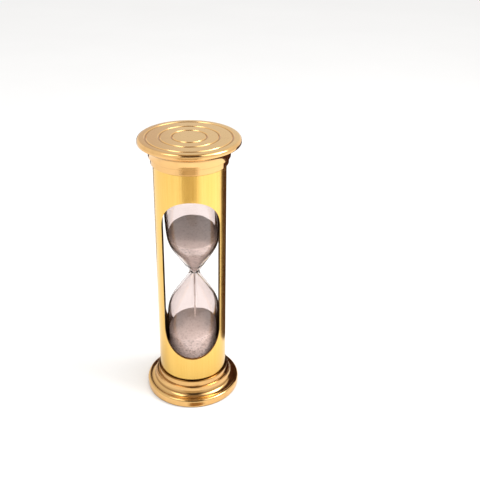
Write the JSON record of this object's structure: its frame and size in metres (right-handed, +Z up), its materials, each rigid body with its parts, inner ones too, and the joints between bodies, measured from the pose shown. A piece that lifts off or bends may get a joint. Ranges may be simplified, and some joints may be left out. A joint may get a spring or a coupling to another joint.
{
  "type": "hourglass",
  "caption": "Sleeve sand timer: a blown glass vial of running sand in a windowed brass tube, held by turned brass caps that screw on at both ends.",
  "frame": {"origin": "centre of the bottom cap's flat end face, on the surface that the timer stands on", "axes": "+Z up along the tube, the front window faces -Y and the rear window faces +Y"},
  "size_m": [0.0446, 0.0446, 0.128],
  "materials": {
    "brushed_brass": "satin, fine brush lines along the tube",
    "polished_brass": "polished mouldings, fine lathe marks on the end faces",
    "clear_glass": "clear blown glass",
    "plug_resin": "matte",
    "pale_sand": "fine pinkish-white sand",
    "cork": "natural cork"
  },
  "bodies": {
    "timer": {"sleeve": "brushed_brass", "glass_vial": "clear_glass", "fill_plug": "plug_resin", "upper_sand": "pale_sand", "sand_stream": "pale_sand", "lower_sand": "pale_sand"},
    "top_seat": {"top_cork_seat": "cork"},
    "top_end": {"top_cap": "polished_brass"},
    "bottom_seat": {"bottom_cork_seat": "cork"},
    "bottom_end": {"bottom_cap": "polished_brass"}
  },
  "joints": [
    {"name": "top_lift", "type": "slide", "parent": "timer", "child": "top_seat", "axis": [0, 0, 1], "range_m": [0, 0.004]},
    {"name": "top_turn", "type": "hinge", "parent": "top_seat", "child": "top_end", "pos_m": [0, 0, 0.128], "axis": [0, 0, 1], "range_deg": [0, 1440]},
    {"name": "bottom_lift", "type": "slide", "parent": "timer", "child": "bottom_seat", "axis": [0, 0, -1], "range_m": [0, 0.004]},
    {"name": "bottom_turn", "type": "hinge", "parent": "bottom_seat", "child": "bottom_end", "pos_m": [0, 0, 0], "axis": [0, 0, -1], "range_deg": [0, 1440]}
  ],
  "couplings": [
    {"joint": "top_turn", "follows": "top_lift", "rad_per_m": 6283.2},
    {"joint": "bottom_turn", "follows": "bottom_lift", "rad_per_m": 6283.2}
  ]
}
